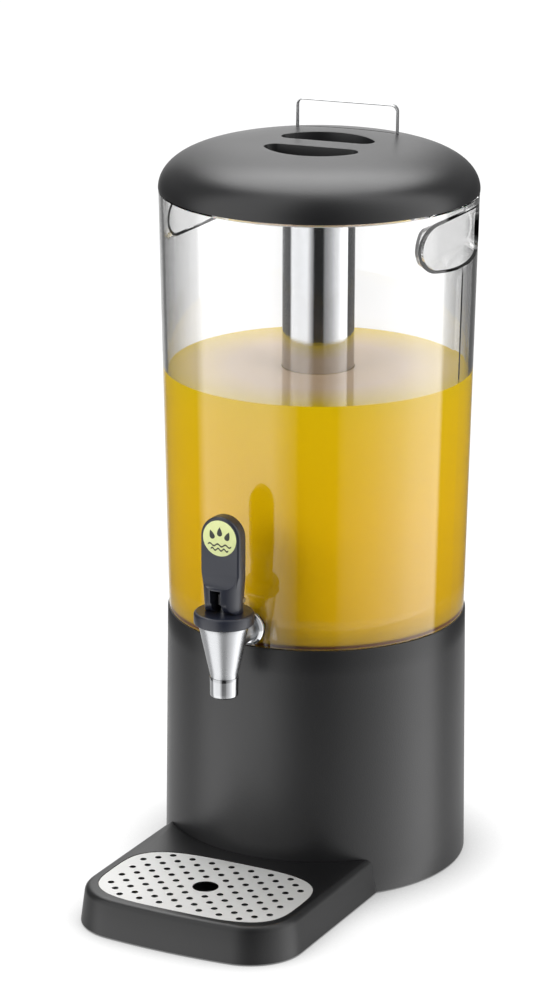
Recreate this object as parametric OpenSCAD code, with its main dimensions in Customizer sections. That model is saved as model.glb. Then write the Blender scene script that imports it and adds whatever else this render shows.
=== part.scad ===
// Table-top juice dispenser: a clear tapered container with a steel ice tube and a
// domed lid stands on a round base. A self-closing lever tap pours over a drip tray.
// The origin is on the column's axis at the floor, the tap faces -Y, and +Z is up.

/* [Base] */
// Height of the base's rim above the floor
base_h = 181; // [165:1:200]
// Radius of the base at its rim
base_rim_r = 105; // [98:1:114]
// How much wider the base is at the floor than at its rim
base_flare = 2.1; // [0:0.1:5]
// Wall of the base shell
base_wall = 3; // [2.4:0.2:4]
// Width of the inward lip that carries the container
base_lip_w = 6; // [5:0.5:7]
// Thickness of that lip
base_lip_t = 4; // [3:0.5:6]
// Thickness of the bottom plate
plate_t = 3; // [2.5:0.5:5]
// Height of the rubber foot ring
foot_h = 4; // [3:0.5:6]

/* [Container] */
// Height of the clear container from its shoulder to its rim
container_h = 299; // [270:1:330]
// How much wider the container is at its rim than at its shoulder
container_flare = 6.2; // [3:0.1:9]
// Wall of the container
container_wall = 3; // [2.4:0.1:3.6]
// How far the container's spigot reaches down inside the base
spigot_h = 8; // [6:0.5:12]
// Depth of the juice above the container's shoulder
juice_depth = 173.7; // [60:0.1:220]

/* [Side grips] */
// Height of the grips' middle below the container's rim
grip_drop = 23.7; // [22.5:0.1:30]
// Length of the flat floor between a grip's round ends
grip_run = 63.6; // [50:0.2:74]
// Radius of a round end at the grip's floor
grip_floor_r = 11.2; // [9:0.2:12]
// Depth of a grip at its middle
grip_depth = 13.7; // [11:0.1:16]
// Sideways lean of a grip's walls for each length of depth
grip_lean_share = 0.5; // [0.3:0.05:0.6]

/* [Lid] */
// Height of the lid's crown above its edge
lid_h = 30.7; // [27:0.1:38]
// Wall of the lid
lid_wall = 2.6; // [2:0.1:3.4]
// How far the lid was turned on the container when it was put on
lid_turn = 7; // [-20:1:20]
// Radius of the round that holds both finger pockets
pocket_r = 39; // [35:0.5:42]
// Width of the bar between the two finger pockets
pocket_bar_w = 19; // [15:0.5:24]
// Depth of the finger pockets below the crown
pocket_depth = 16; // [12:0.5:20]

/* [Card holder] */
// Width of the card holder between its legs' outer faces
holder_w = 74.4; // [56:0.2:80]
// Height of the card holder above the lid
holder_h = 20.4; // [16:0.1:30]
// Distance of the card holder behind the lid's middle
holder_back = 58; // [55:1:64]
// Width of the steel strip
strip_w = 4.5; // [3:0.5:6]
// Thickness of the steel strip
strip_t = 0.9; // [0.8:0.1:1.4]

/* [Ice tube] */
// Outer radius of the ice tube
tube_r = 25.1; // [22:0.1:28]
// Wall of the ice tube
tube_wall = 0.9; // [0.7:0.1:1.5]
// Length of the ice tube below the lid's socket
tube_l = 280; // [240:1:285]

/* [Tap] */
// Distance from the container's shoulder radius out to the tap's axis
tap_reach = 36; // [33:0.5:42]
// Height of the tap's inlet above the container's shoulder
inlet_rise = 13.2; // [12.4:0.1:15]
// Radius of the steel cone at its top
cone_top_r = 17.6; // [15.5:0.1:18]
// Height of the steel cone
cone_h = 38.1; // [34:0.1:44]
// Length of the spout below the cone
spout_h = 14.2; // [10:0.1:20]
// Radius of the spout below the cone
spout_r = 9.8; // [9:0.1:10.8]
// Radius of the spout's bore
spout_bore_r = 6.2; // [5.6:0.1:6.6]
// Radius of the tap's collar
collar_r = 20.6; // [19.5:0.1:22]
// Height of the tap's collar
collar_h = 8.6; // [7.6:0.1:10]
// Radius of the chrome flange against the container
flange_r = 12.4; // [11.6:0.1:12.4]
// Outer radius of the threaded shank
shank_r = 7; // [6.6:0.1:7.2]
// Radius of the shank's bore
shank_bore_r = 4.5; // [4:0.1:5]
// Radius of the valve stem
stem_r = 3; // [2.6:0.1:3]

/* [Lever] */
// Height of the lever's top above the collar
lever_h = 67.9; // [64:0.1:78]
// Width of the lever's paddle
lever_w = 29.5; // [27:0.5:30]
// Thickness of the lever's paddle
lever_t = 10.6; // [8.6:0.1:11]
// Radius of the lever's round foot at its widest
foot_block_r = 14; // [13.4:0.1:14.6]
// Radius of the coloured disc on the lever
disc_r = 12.5; // [9:0.1:12.5]
// Distance from the lever's pin forward to the centre of its cam
cam_throw = 8.1; // [7:0.1:8.6]

/* [Drip tray] */
// Distance from the base's foot out to the tray's front edge
tray_reach = 119; // [112:1:135]
// Width of the tray at the floor
tray_w = 165.2; // [158:0.4:178]
// Height of the tray's top
tray_h = 26.6; // [24:0.2:32]
// Radius of the tray's front corners at the floor
tray_corner_r = 39; // [30:1:42]
// How far the tray's top is drawn in from its foot
tray_draw = 3.5; // [2:0.5:5]
// Wall of the tray
tray_wall = 2.6; // [2:0.1:3.4]
// Length of the grille from side to side
grille_w = 143.4; // [136:0.2:146]
// Depth of the grille from front to back
grille_l = 93; // [86:0.5:94]
// Thickness of the grille
grille_t = 0.8; // [0.8:0.1:2]
// Radius of a drain hole
hole_r = 2.3; // [1.2:0.1:2.6]
// Distance between neighbouring rows of holes
hole_step = 7.64; // [7:0.01:8.4]
// Radius of the grille's finger hole
finger_hole_r = 9; // [6:0.25:10]

/* [Hidden] */

$fn = 96;

// Overrun of every cut past the face that it opens
over = 1;
// Gap between pieces that lift, slide or tilt apart
gap = 0.4;
// Gap under a piece that rests on another
rest_gap = 0.3;
// Gap between pieces of one assembly that are pressed or screwed together
press_gap = 0.02;
// Radial running fit of the stem and the pin
run_gap = 0.05;
// Height of hard edges above the floor, so that only rubber meets it
skirt_gap = 1.2;

// Heights of the column
seat_z = base_h + rest_gap;
rim_z = seat_z + container_h;
// Step from the base's rim in to the container's shoulder
shoulder_step = 1;
shoulder_r = base_rim_r - shoulder_step;
container_rim_r = shoulder_r + container_flare;
spigot_r = base_rim_r - base_lip_w - 1.5 * gap;
container_floor_t = 4;
container_floor_z = seat_z - spigot_h + container_floor_t;
juice_z = seat_z + juice_depth;

function container_r(z) = shoulder_r + (z - seat_z) * container_flare / container_h;
function base_r(z) = base_rim_r + base_flare * (base_h - z) / base_h;

// Base screws, seat ring and foot ring
boss_r = 5;
boss_h = 34;
boss_lap = 0.6;
screw_circle_r = base_r(0) - base_wall - boss_r + boss_lap;
screw_count = 4;
screw_angle = 45;
screw_r = 1.5;
screw_l = 15;
screw_hole_r = 1.6;
screw_hole_l = 20;
screw_head_r = 3;
screw_head_h = 2;
screw_sink = 1.2;
seat_ring_inset = 1.4;
seat_ring_r = base_rim_r - base_lip_w + seat_ring_inset;
seat_ring_w = 2;
seat_ring_h = 1;
foot_ring_inset = 1.5;
foot_ring_r = screw_circle_r - screw_head_r - foot_ring_inset;
foot_ring_w = 7;
foot_groove_h = 1.6;

// Places along the tap, as distances from the column's axis
inlet_z = seat_z + inlet_rise;
wall_out_r = container_r(inlet_z);
wall_in_r = wall_out_r - container_wall;
outer_gasket_t = 1;
outer_gasket_inset = 0.8;
flange_t = 3.4;
flange_bevel = 2.2;
neck_start = wall_out_r + outer_gasket_t + flange_t;
tap_axis = shoulder_r + tap_reach;
inner_gasket_r = 8.9;
inner_gasket_t = 1.7;
// Slope inside the container's shoulder, which ends just under the inner gasket
slope_foot_h = 0.8;
slope_top_h = inlet_rise - inner_gasket_r - gap;
nut_start = wall_in_r - inner_gasket_t;
nut_t = 6.5;
nut_flats = 19;
thread_out = 2;
shank_end = nut_start - nut_t - thread_out;
shank_inset = 12;
neck_r = 8.8;

// Heights along the tap
inlet_drop = 13.9;
cone_top_z = inlet_z + inlet_drop;
cone_foot_z = cone_top_z - cone_h;
spout_z = cone_foot_z - spout_h;
spout_taper = 0.2;
// Small step by which the spout stands out from the cone's foot
spout_step = 0.5;
spout_lip = 1.2;
// How far the steel body reaches up inside the collar
body_lap = 5.6;
body_step = 1;
body_top_z = cone_top_z + body_lap;
collar_z = cone_top_z + collar_h;
collar_top_edge = 2;
collar_foot_edge = 0.8;
cone_wall = 2;
valve_seat_rise = 1.2;
valve_seat_z = cone_foot_z + valve_seat_rise;
valve_seat_h = 1.6;
guide_h = 8;
guide_ledge = 0.7;
guide_r = cone_top_r - cone_wall - guide_ledge;
stem_seal_w = 2;
stem_seal_z = body_top_z - 1.2 * stem_seal_w;
plug_r = 7.6;
plug_waist_r = 5;
plug_h = 11.5;
plug_nose_h = 4;
plug_rim_h = 2.4;
plug_floor_t = 2;
plug_z = valve_seat_z + rest_gap;
spring_foot_z = plug_z + plug_h;

cone_foot_r = spout_r - spout_step;

function cone_r(z) = cone_foot_r + (z - cone_foot_z) * (cone_top_r - cone_foot_r) / cone_h;

// Lever and pin
pin_r = 2;
pin_back = 4.9;
cam_r = 7.9;
heel_r = 4;
lever_gap = 0.4;
foot_z = collar_z + lever_gap;
pin_z = foot_z + cam_r;
foot_low_r = 12.9;
lip_rise = 19;
lip_z = collar_z + lip_rise;
crease_rise = 9.5;
back_rise = 11;
paddle_front = 6.3;
edge_r = 2;
slot_w = 7.8;
slot_roof = 0.9;
slot_top_z = lip_z - slot_roof;
lever_top_z = collar_z + lever_h;
head_r = 3.6;
pin_inset = 0.2;
sink_r = 3;
sink_inset = 1.4;
disc_t = 0.8;
disc_lift = 0.2;

// Lid
lid_gap = 0.3;
lid_z = rim_z + lid_gap;
lid_bulge = 0.1;
lid_overhang = 0.2;
lid_foot_r = container_rim_r + lid_overhang;
lid_r = lid_foot_r + lid_bulge;
crown_z = lid_z + lid_h;
// Powers of the lid's curve: a nearly flat crown, a quick turn down and an upright edge
lid_flat_power = 4.2;
lid_round_power = 2.08;
lid_steps = 28;
liner_t = 2.2;
liner_rise = 0.6;
liner_z = lid_z + liner_rise;
// Radius of the dome's inside at the liner's top
liner_seat_r = (lid_r - lid_wall)
    * pow(1 - pow((liner_rise + liner_t) / (lid_h - lid_wall), lid_round_power), 1 / lid_flat_power);
skirt_h = 3.2;
skirt_t = 2.4;
seal_w = 1.2;
seal_h = 2;
skirt_r = container_r(rim_z - skirt_h) - container_wall - seal_w - 2 * gap;
pocket_tip_r = 8;
pocket_wall = 2.4;
pocket_floor_z = crown_z - pocket_depth;
lid_screw_circle_r = 72;
lid_screw_count = 4;
lid_screw_angle = 20;
lid_screw_r = 1;
lid_screw_l = 10;
lid_screw_head_r = 2.6;
lid_screw_head_h = 1.4;
lid_boss_r = 4;

// Card holder
card_slot_w = 1.8;
card_slot_depth = 8.2;
card_slot_end = 2.5;
pad_w = 9;
pad_depth = 12.8;
leg_depth = 9;
holder_bend_r = 5;
holder_foot_z = crown_z - leg_depth;

// Height of the lid's surface at a distance from its middle
function lid_top(r) = lid_z + lid_h * pow(1 - pow(r / lid_r, lid_flat_power), 1 / lid_round_power);

holder_top_z = lid_top(norm([holder_w / 2, holder_back])) + holder_h;

// Ice tube and its bayonet socket under the lid
tube_drop = 1.2;
tube_top_z = liner_z - tube_drop;
tube_floor_z = tube_top_z - tube_l;
tube_foot_r = 6;
tube_seal_w = 2.8;
tube_seal_lap = 2;
socket_h = 12;
socket_wall = 2.4;
lug_reach = 2;
lug_h = 2.6;
lug_r = tube_r + lug_reach;
socket_r = lug_r + gap;
ledge_h = 2.6;
ledge_r = tube_r + gap;
lug_angle = 34;
ledge_angle = 40;
lug_count = 3;
tube_lug_z = liner_z - socket_h + ledge_h + rest_gap;
collar_wall = 1;

// Drip tray
tray_gap = 0.4;
tray_front = -base_r(0) - tray_reach;
tray_bow = 2.2;
tray_round = 4;
tray_round_steps = 4;
grille_land = 12;
grille_y = tray_front + grille_land + grille_l / 2;
grille_power = 3.5;
grille_sink = 0.3;
grille_ledge = 4;
grille_z = tray_h - grille_sink - grille_t;
well_floor_z = 8;
tray_pad_r = 5;
tray_pad_h = 2.6;
tray_pad_wall = 1;
tray_pad_clear = 1;
tray_pad_inset = 16;
tray_pad_x = tray_w / 2 - tray_pad_inset;
tray_pad_front = 24;
// The rear pads stand on a circle about the column, clear of the tray's rear wall
tray_pad_ring_r = base_r(0) + tray_gap + tray_wall + tray_pad_r + tray_pad_clear;
tray_pad_back = sqrt(pow(tray_pad_ring_r, 2) - pow(tray_pad_x, 2));
tongue_w = 60;
tongue_t = 3;
tongue_l = 12;
tongue_z = 9;
// Land between a drain hole's middle and the grille's edge or its finger hole
hole_land = 4.5;

// Two-dimensional shapes

// Superellipse outline of the grille, its seat and the well under it
module pillow(a, b) {
    steps = 72;
    polygon([for (i = [0 : steps - 1])
        let (t = 360 * i / steps)
        [a * sign(cos(t)) * pow(abs(cos(t)), 2 / grille_power),
         b * sign(sin(t)) * pow(abs(sin(t)), 2 / grille_power)]]);
}

// Half-moon with round tips above a straight edge at height `edge`
module half_moon(r, edge, tip_r) {
    cx = sqrt(pow(r - tip_r, 2) - pow(edge + tip_r, 2));
    cy = edge + tip_r;
    // the corner lines run from the origin through each tip's middle
    intersection() {
        circle(r);
        polygon([[-cx, edge], [cx, edge], [cx, cy], [2 * cx, 2 * cy], [2 * cx, 2 * r],
            [-2 * cx, 2 * r], [-2 * cx, 2 * cy], [-cx, cy]]);
    }
    for (side = [-1, 1])
        translate([side * cx, cy])
            circle(tip_r);
}

// Tray outline at the floor, drawn in by `inset`: straight sides, round front corners
// and a bowed front whose arc runs smoothly into the corners
module tray_outline(inset) {
    cx = tray_w / 2 - tray_corner_r;
    drop = tray_corner_r + tray_bow;
    cy = tray_front + drop;
    bow_r = (cx * cx + drop * drop - tray_corner_r * tray_corner_r) / (2 * tray_bow);
    bow_y = tray_front + bow_r;
    // the wedge from the bow's centre through the corners' centres, cut off behind them
    reach = 2 * (bow_y - cy);
    intersection() {
        translate([0, bow_y])
            circle(bow_r - inset, $fn = 360);
        polygon([[-cx, cy], [-cx * reach / (bow_y - cy), bow_y - reach],
            [cx * reach / (bow_y - cy), bow_y - reach], [cx, cy]]);
    }
    for (side = [-1, 1])
        translate([side * cx, cy])
            circle(tray_corner_r - inset, $fn = 64);
    translate([-tray_w / 2 + inset, cy])
        square([tray_w - 2 * inset, -cy]);
}

// Base

// Black moulded shell with an inward lip at its rim and screw bosses at its foot
module base_shell() {
    rim_round = 1.2;
    // share of a square corner that a round of the same size keeps at its middle
    round_share = 0.29;
    color("#2b2c2e")
    difference() {
        union() {
            rotate_extrude()
                polygon([
                    [base_r(skirt_gap) - base_wall, skirt_gap],
                    [base_r(skirt_gap), skirt_gap],
                    [base_r(base_h - rim_round), base_h - rim_round],
                    [base_rim_r - rim_round * round_share, base_h - rim_round * round_share],
                    [base_rim_r - rim_round, base_h],
                    [base_rim_r - base_lip_w, base_h],
                    [base_rim_r - base_lip_w, base_h - base_lip_t],
                    [base_rim_r - base_wall, base_h - base_lip_t - base_wall]]);
            screw_places()
                translate([0, 0, foot_h + plate_t + press_gap])
                    cylinder(r = boss_r, h = boss_h);
        }
        screw_places()
            cylinder(r = screw_hole_r, h = foot_h + screw_hole_l);
        // groove for the seat ring
        translate([0, 0, base_h - seat_ring_h])
            rotate_extrude()
                translate([seat_ring_r, 0])
                    square([seat_ring_w, seat_ring_h + over]);
        // slot for the tray's tongue
        translate([-tongue_w / 2 - tray_gap, -base_r(0) - over, tongue_z - tray_gap])
            cube([tongue_w + 2 * tray_gap, base_flare + 2 * base_wall + 2 * over + tongue_l,
                tongue_t + 2 * tray_gap]);
    }
}

module screw_places() {
    for (i = [0 : screw_count - 1])
        rotate(screw_angle + 360 * i / screw_count)
            translate([screw_circle_r, 0, 0])
                children();
}

// Bottom plate, screwed up into the bosses, with a groove for the foot ring
module base_plate() {
    color("#333436")
    difference() {
        translate([0, 0, foot_h])
            cylinder(r = base_r(0) - base_wall - gap - base_flare * plate_t / base_h,
                h = plate_t);
        screw_places()
            translate([0, 0, foot_h - over])
                cylinder(r = screw_hole_r + press_gap, h = plate_t + 2 * over);
        screw_places()
            translate([0, 0, foot_h - over])
                cylinder(r = screw_head_r + press_gap, h = screw_sink + over);
        translate([0, 0, foot_h - over])
            rotate_extrude()
                translate([foot_ring_r - foot_ring_w - press_gap, 0])
                    square([foot_ring_w + 2 * press_gap, foot_groove_h + over]);
    }
}

// Rubber ring under the base
module foot_ring() {
    color("#1d1d1e")
    rotate_extrude()
        translate([foot_ring_r - foot_ring_w, 0])
            square([foot_ring_w, foot_h + foot_groove_h]);
}

// Four pan-head screws that hold the bottom plate
module base_screws() {
    head_z = foot_h + screw_sink - screw_head_h;
    color("#b9bcc0")
    screw_places()
        translate([0, 0, head_z]) {
            cylinder(r = screw_head_r, h = screw_head_h);
            cylinder(r = screw_r, h = screw_head_h + screw_l);
        }
}

// Soft ring, let into the base's lip, on which the container stands
module seat_ring() {
    color("#3a3a3c")
    translate([0, 0, base_h - seat_ring_h])
        rotate_extrude()
            translate([seat_ring_r + press_gap, 0])
                square([seat_ring_w - 2 * press_gap, seat_ring_h]);
}

// Container

// A grip's hollow: flat floor, round ends, walls that lean out towards the mouth.
// With `skin` above zero it is the outside of the clear wall around that hollow.
module grip_forms(skin) {
    grip_z = rim_z - grip_drop;
    floor_x = container_r(grip_z) - grip_depth;
    skin_r = skin * sqrt(1 + grip_lean_share * grip_lean_share);
    x0 = floor_x - skin;
    x1 = container_rim_r + over;
    r0 = grip_floor_r + skin_r - skin * grip_lean_share;
    r1 = r0 + (x1 - x0) * grip_lean_share;
    for (side = [0, 180])
        rotate(side)
            translate([x0, 0, grip_z]) {
                for (end = [-0.5, 0.5])
                    translate([0, end * grip_run, 0])
                        rotate([0, 90, 0])
                            cylinder(r1 = r0, r2 = r1, h = x1 - x0);
                rotate([90, 0, 0])
                    linear_extrude(grip_run, center = true)
                        polygon([[0, -r0], [x1 - x0, -r1], [x1 - x0, r1], [0, r0]]);
            }
}

module container_inside(extra) {
    floor_r = spigot_r - container_wall - extra;
    rotate_extrude()
        polygon([
            [0, container_floor_z + extra],
            [floor_r, container_floor_z + extra],
            [floor_r, seat_z + slope_foot_h],
            [container_r(seat_z + slope_top_h) - container_wall - extra, seat_z + slope_top_h],
            [container_rim_r - container_wall - extra, rim_z],
            [container_rim_r - container_wall - extra, rim_z + over],
            [0, rim_z + over]]);
}

// Clear moulded container with a spigot below and a finger grip on each side
module container() {
    lip_round = 0.8;
    color([0.93, 0.95, 0.96, 0.35])
    difference() {
        rotate_extrude()
            polygon([
                [0, seat_z - spigot_h],
                [spigot_r - lip_round, seat_z - spigot_h],
                [spigot_r, seat_z - spigot_h + lip_round],
                [spigot_r, seat_z],
                [shoulder_r, seat_z],
                [container_rim_r, rim_z - lip_round],
                [container_rim_r - lip_round, rim_z],
                [0, rim_z]]);
        difference() {
            container_inside(0);
            grip_forms(container_wall);
        }
        grip_forms(0);
        // hole for the tap's shank
        translate([0, -wall_in_r + 2 * over + container_wall, inlet_z])
            rotate([90, 0, 0])
                cylinder(r = shank_r + press_gap, h = 3 * container_wall + 2 * over);
    }
}

// Juice, up to its level, clear of the ice tube and of the tap's nut
module juice() {
    nut_clear_r = nut_flats / sqrt(3) + gap;
    color([0.85, 0.62, 0.05])
    difference() {
        intersection() {
            container_inside(press_gap * 2);
            cylinder(r = container_rim_r, h = juice_z);
        }
        translate([0, 0, tube_floor_z - gap])
            cylinder(r = tube_r + gap, h = container_h);
        translate([0, -shank_end + gap, inlet_z])
            rotate([90, 0, 0])
                cylinder(r = nut_clear_r, h = wall_out_r - shank_end);
    }
}

// Tap: what is fixed to the container

// Threaded tube through the container's wall
module tap_shank() {
    color("#c4c7ca")
    translate([0, -shank_end, inlet_z])
        rotate([90, 0, 0])
            difference() {
                cylinder(r = shank_r, h = neck_start + shank_inset - shank_end);
                translate([0, 0, -over])
                    cylinder(r = shank_bore_r, h = neck_start + shank_inset + 2 * over - shank_end);
            }
}

// Bright bevelled flange that covers the hole outside
module tap_flange() {
    color("#d5d7da")
    translate([0, -neck_start, inlet_z])
        rotate([-90, 0, 0])
            difference() {
                union() {
                    cylinder(r1 = flange_r - flange_bevel, r2 = flange_r, h = flange_bevel);
                    translate([0, 0, flange_bevel])
                        cylinder(r = flange_r, h = flange_t - flange_bevel);
                }
                translate([0, 0, -over])
                    cylinder(r = shank_r + press_gap, h = flange_t + 2 * over);
            }
}

// Washer on the shank, from a distance off the column's axis outwards
module shank_washer(start, r, t) {
    translate([0, -start, inlet_z])
        rotate([90, 0, 0])
            difference() {
                cylinder(r = r, h = t);
                translate([0, 0, -over])
                    cylinder(r = shank_r + press_gap, h = t + 2 * over);
            }
}

// Cone of the container's wall, drawn in or out
module wall_cone(inset) {
    translate([0, 0, seat_z])
        cylinder(r1 = shoulder_r - inset, r2 = container_rim_r - inset, h = container_h, $fn = 720);
}

// Soft washer between the flange and the round wall, hollow on the wall's side
module outer_gasket() {
    color("#e8e8e4")
    difference() {
        shank_washer(wall_out_r - outer_gasket_t, flange_r - outer_gasket_inset,
            2 * outer_gasket_t - press_gap);
        wall_cone(-press_gap);
    }
}

// Soft washer inside, crowned to the round wall
module inner_gasket() {
    color("#e8e8e4")
    intersection() {
        shank_washer(nut_start, inner_gasket_r, 2 * inner_gasket_t);
        wall_cone(container_wall + press_gap);
    }
}

// Hexagon nut inside the container
module shank_nut() {
    color("#c4c7ca")
    translate([0, -nut_start + nut_t + press_gap, inlet_z])
        rotate([90, 0, 0])
            difference() {
                cylinder(r = nut_flats / sqrt(3), h = nut_t, $fn = 6);
                translate([0, 0, -over])
                    cylinder(r = shank_r + press_gap, h = nut_t + 2 * over);
            }
}

module at_tap() {
    translate([0, -tap_axis, 0])
        children();
}

// Polished steel cone and spout, hollow, with the valve seat at the cone's foot
module tap_body() {
    spout_tip_r = spout_r - spout_taper;
    chamber_foot_r = cone_r(valve_seat_z + valve_seat_h) - cone_wall;
    chamber_top_z = body_top_z - guide_h - press_gap;
    color("#cfd1d3")
    difference() {
        union() {
            at_tap()
                rotate_extrude()
                    polygon([
                        [0, spout_z],
                        [spout_tip_r - spout_lip, spout_z],
                        [spout_tip_r, spout_z + spout_lip],
                        [spout_r, cone_foot_z],
                        [cone_foot_r, cone_foot_z],
                        [cone_top_r, cone_top_z],
                        [cone_top_r - body_step, cone_top_z],
                        [cone_top_r - body_step, body_top_z],
                        [0, body_top_z]]);
            translate([0, -neck_start - press_gap, inlet_z])
                rotate([90, 0, 0])
                    cylinder(r = neck_r, h = tap_axis - neck_start - press_gap);
        }
        at_tap() {
            translate([0, 0, spout_z - over])
                cylinder(r = spout_bore_r, h = spout_h + cone_h);
            rotate_extrude()
                polygon([
                    [0, valve_seat_z],
                    [chamber_foot_r, valve_seat_z],
                    [chamber_foot_r, valve_seat_z + valve_seat_h],
                    [cone_r(chamber_top_z) - cone_wall - guide_ledge, chamber_top_z],
                    [guide_r + press_gap, chamber_top_z],
                    [guide_r + press_gap, body_top_z + over],
                    [0, body_top_z + over]]);
        }
        // the shank's socket and the passage into the chamber
        translate([0, -neck_start + over, inlet_z])
            rotate([90, 0, 0])
                cylinder(r = shank_r + press_gap, h = shank_inset + press_gap + over);
        translate([0, -neck_start, inlet_z])
            rotate([90, 0, 0])
                cylinder(r = shank_bore_r, h = tap_axis - neck_start);
    }
}

// Black cap that screws over the cone's top and carries the lever's cam
module tap_collar() {
    edge = collar_top_edge;
    color("#232429")
    at_tap()
        difference() {
            rotate_extrude() {
                translate([collar_r - edge, collar_z - edge])
                    intersection() {
                        circle(edge);
                        square(edge);
                    }
                polygon([
                    [0, cone_top_z + press_gap],
                    [collar_r - collar_foot_edge, cone_top_z + press_gap],
                    [collar_r, cone_top_z + collar_foot_edge],
                    [collar_r, collar_z - edge],
                    [collar_r - edge, collar_z - edge],
                    [collar_r - edge, collar_z],
                    [0, collar_z]]);
            }
            translate([0, 0, cone_top_z - over])
                cylinder(r = cone_top_r - body_step + press_gap, h = body_lap + press_gap + over);
            translate([0, 0, cone_top_z])
                cylinder(r = stem_r + run_gap, h = collar_h + over);
        }
}

// Plastic bush under the collar that guides the stem
module stem_guide() {
    color("#e9e9ea")
    at_tap()
        difference() {
            translate([0, 0, body_top_z - guide_h])
                cylinder(r = guide_r, h = guide_h);
            translate([0, 0, body_top_z - guide_h - over])
                cylinder(r = stem_r + run_gap, h = guide_h + 2 * over);
            translate([0, 0, stem_seal_z])
                cylinder(r = stem_r + stem_seal_w, h = body_top_z - stem_seal_z + over);
        }
}

// Ring seal round the stem, in the guide's counterbore
module stem_seal() {
    color("#1f1f20")
    at_tap()
        translate([0, 0, stem_seal_z + stem_seal_w / 2])
            rotate_extrude()
                translate([stem_r + stem_seal_w / 2, 0])
                    circle(stem_seal_w / 2 - run_gap, $fn = 32);
}

// Valve: what rises with the stem

// Steel stem with an eye at its top, set back for the lever's pin
module valve_stem() {
    eye_w = 2 * stem_r;
    color("#c9cbce")
    at_tap()
        difference() {
            union() {
                translate([0, 0, plug_z + plug_floor_t])
                    cylinder(r = stem_r, h = pin_z - plug_z - plug_floor_t);
                translate([-eye_w / 2, pin_back, pin_z])
                    rotate([0, 90, 0])
                        cylinder(r = head_r, h = eye_w);
                translate([-eye_w / 2, -stem_r, pin_z - head_r])
                    cube([eye_w, pin_back + stem_r, 2 * head_r]);
            }
            translate([-eye_w / 2 - over, pin_back, pin_z])
                rotate([0, 90, 0])
                    cylinder(r = pin_r + press_gap, h = eye_w + 2 * over);
        }
}

// Silicone plug that closes the valve seat and carries the spring's foot
module seat_plug() {
    color("#d9d6cf")
    at_tap()
        difference() {
            translate([0, 0, plug_z])
                rotate_extrude()
                    polygon([
                        [0, 0],
                        [plug_r, 0],
                        [plug_r, plug_nose_h / 2],
                        [plug_waist_r, plug_nose_h],
                        [plug_waist_r, plug_h - 1.5 * plug_rim_h],
                        [plug_r, plug_h - plug_rim_h],
                        [plug_r, plug_h],
                        [0, plug_h]]);
            translate([0, 0, plug_z + plug_floor_t - press_gap])
                cylinder(r = stem_r + press_gap, h = plug_h);
        }
}

// Steel pin on which the lever tilts
module lever_pin() {
    pin_l = 2 * (foot_low_r - pin_inset);
    color("#d5d7da")
    at_tap()
        translate([-pin_l / 2, pin_back, pin_z])
            rotate([0, 90, 0])
                cylinder(r = pin_r, h = pin_l);
}

// Return spring: one unbroken round wire wound about the stem
module return_spring() {
    wire_r = 0.6;
    coil_r = 5;
    turns = 7;
    rings_per_turn = 8;
    sides = 6;
    z0 = spring_foot_z + rest_gap + wire_r;
    z1 = body_top_z - guide_h - rest_gap - wire_r;
    pitch = (z1 - z0) / turns;
    count = turns * rings_per_turn;
    function wire_ring(i, r, a) =
        let (turn = 360 * i / rings_per_turn)
        [(coil_r + r * cos(a)) * cos(turn),
         (coil_r + r * cos(a)) * sin(turn),
         z0 + pitch * i / rings_per_turn + r * sin(a)];
    points = [for (i = [0 : count], j = [0 : sides - 1])
        wire_ring(i, wire_r, 360 * j / sides)];
    walls = [for (i = [0 : count - 1], j = [0 : sides - 1], k = [0, 1])
        let (p = i * sides + j, q = i * sides + (j + 1) % sides)
        k == 0 ? [p, p + sides, q + sides] : [p, q + sides, q]];
    start_cap = [[for (j = [0 : sides - 1]) j]];
    end_cap = [[for (j = [sides - 1 : -1 : 0]) count * sides + j]];
    echo(least_gap_of_the_wire_to_itself = min([
        for (i = [0 : count - rings_per_turn / 2], j = [i + rings_per_turn / 2 : count])
            norm(wire_ring(i, 0, 0) - wire_ring(j, 0, 0))]) - 2 * wire_r);
    color("#aeb1b5")
    at_tap()
        polyhedron(points, concat(walls, start_cap, end_cap));
}

// Lever

// Side view of the lever, drawn with the pin's side towards +X and height as Y
module lever_side() {
    front = paddle_front;
    back = lever_t - paddle_front;
    difference() {
        union() {
            // paddle
            translate([-front, lip_z])
                square([lever_t, lever_top_z - lip_z]);
            // foot with its shoulders
            translate([-foot_block_r, pin_z])
                square([2 * foot_block_r, lip_z - pin_z]);
            translate([-front, lip_z])
                square([foot_block_r + front, back_rise]);
            translate([-foot_block_r, lip_z])
                square([foot_block_r, crease_rise]);
            // cam below the pin's height
            translate([pin_back - cam_throw, pin_z])
                circle(cam_r);
            translate([pin_back - cam_throw, foot_z])
                square([foot_block_r - pin_back + cam_throw - heel_r, cam_r]);
            translate([foot_block_r - heel_r, foot_z + heel_r])
                circle(heel_r);
            translate([foot_block_r - heel_r, foot_z + heel_r])
                square([heel_r, cam_r - heel_r]);
        }
        // hollow sweep from the paddle's face out to the lip
        translate([-foot_block_r, lip_z + crease_rise])
            oval_corner(foot_block_r - front, crease_rise);
        // and from its back out to the heel
        translate([foot_block_r, lip_z + back_rise])
            mirror([1, 0])
                oval_corner(foot_block_r - back, back_rise);
    }
}

// Hollow corner sweep: the quarter of an oval that has its middle at the origin
module oval_corner(a, b) {
    steps = 10;
    polygon(concat([[-over, over], [-over, -b], [0, -b]],
        [for (i = [1 : steps]) let (t = 90 * i / steps) [a * sin(t), -b * cos(t)]],
        [[a, over]]));
}

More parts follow.
